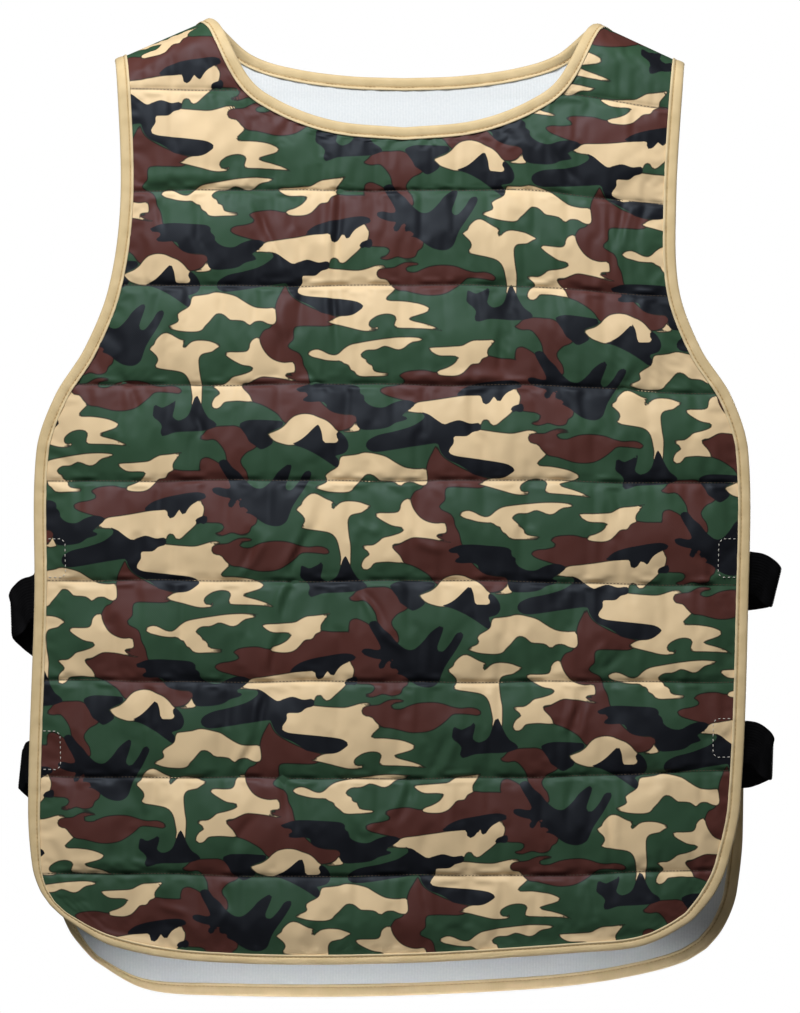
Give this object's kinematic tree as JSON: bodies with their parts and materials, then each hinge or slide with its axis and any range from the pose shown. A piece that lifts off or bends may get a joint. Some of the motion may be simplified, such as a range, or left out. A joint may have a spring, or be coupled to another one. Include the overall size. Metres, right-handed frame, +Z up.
{
  "type": "quilted work vest",
  "caption": "Pull-over quilted work vest in woodland camouflage with a white lining, tan bound edges and slack black elastic straps joining its front and back panels at the sides.",
  "frame": {"origin": "where a hanger or the wearer's shoulders carry it: on the middle plane, level with the shoulder seams at the neck", "axes": "+Z up, -Y out of the front panel, +X to the right seen from the front"},
  "size_m": [0.5489, 0.0889, 0.7045],
  "materials": {
    "camouflage_cloth": "satin printed polyester, quilted",
    "white_lining": "matt, fine upright ribs",
    "tan_binding": "satin tape, folded and stitched",
    "black_elastic": "matt woven elastic"
  },
  "bodies": {
    "root": {"front_shell": "camouflage_cloth", "front_lining": "white_lining", "back_shell": "camouflage_cloth", "back_lining": "white_lining", "edge_binding": "tan_binding", "neck_binding": "tan_binding", "strap_left_upper": "black_elastic", "strap_left_lower": "black_elastic", "strap_right_upper": "black_elastic", "strap_right_lower": "black_elastic"}
  },
  "joints": []
}
